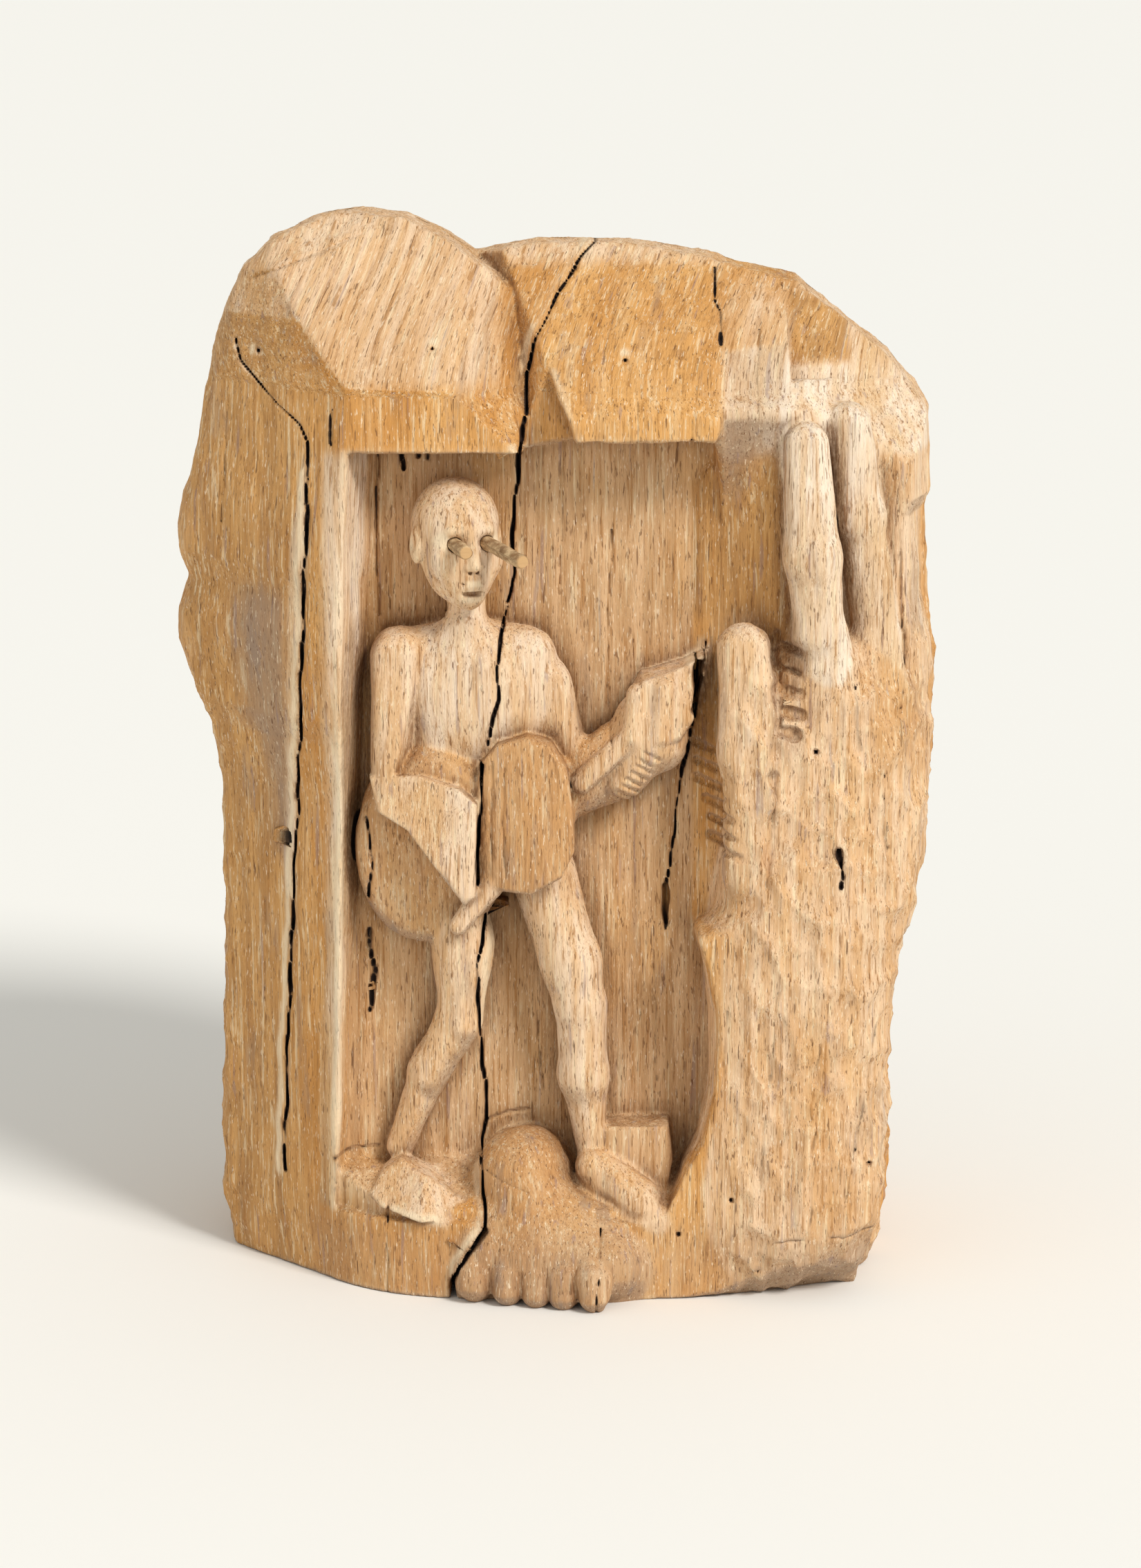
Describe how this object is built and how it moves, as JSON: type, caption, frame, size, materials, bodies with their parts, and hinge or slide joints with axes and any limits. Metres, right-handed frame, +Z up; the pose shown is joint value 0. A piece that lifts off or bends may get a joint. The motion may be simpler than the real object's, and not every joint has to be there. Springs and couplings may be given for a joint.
{
  "type": "relief-carved log figure",
  "caption": "Upright weathered log carved in relief: a lute player stands in a doorway, a giant hand clasps the side, giant toes at the foot",
  "frame": {"origin": "middle of the footprint's bounding box, on the ground", "axes": "+X to the right as the front is seen, the carved front faces -Y, +Z up along the grain"},
  "size_m": [0.364, 0.28, 0.505],
  "materials": {
    "weathered_wood": "dry, hand carved, unsealed",
    "peg_wood": "dry whittled dowel"
  },
  "bodies": {
    "root": {"base_plinth": "weathered_wood", "door_post": "weathered_wood", "eave_left": "weathered_wood", "eave_right": "weathered_wood", "eye_peg_left": "peg_wood", "eye_peg_right": "peg_wood", "giant_foot": "weathered_wood", "giant_index_finger": "weathered_wood", "giant_middle_finger": "weathered_wood", "giant_palm": "weathered_wood", "giant_ring_finger": "weathered_wood", "giant_thumb": "weathered_wood", "giant_toe_1": "weathered_wood", "giant_toe_2": "weathered_wood", "giant_toe_3": "weathered_wood", "giant_toe_4": "weathered_wood", "giant_toe_5": "weathered_wood", "head": "weathered_wood", "left_flank": "weathered_wood", "left_foot": "weathered_wood", "left_forearm": "weathered_wood", "left_hand": "weathered_wood", "left_shin": "weathered_wood", "left_thigh": "weathered_wood", "left_upper_arm": "weathered_wood", "lute_end_button": "weathered_wood", "lute_head": "weathered_wood", "lute_lower_bout": "weathered_wood", "lute_neck": "weathered_wood", "lute_upper_bout": "weathered_wood", "neck": "weathered_wood", "right_flank": "weathered_wood", "right_foot": "weathered_wood", "right_forearm": "weathered_wood", "right_hand": "weathered_wood", "right_shin": "weathered_wood", "right_shoulder": "weathered_wood", "right_thigh": "weathered_wood", "right_upper_arm": "weathered_wood", "side_boss_lower": "weathered_wood", "side_boss_upper": "weathered_wood", "torso": "weathered_wood", "trunk_core": "weathered_wood"}
  },
  "joints": []
}
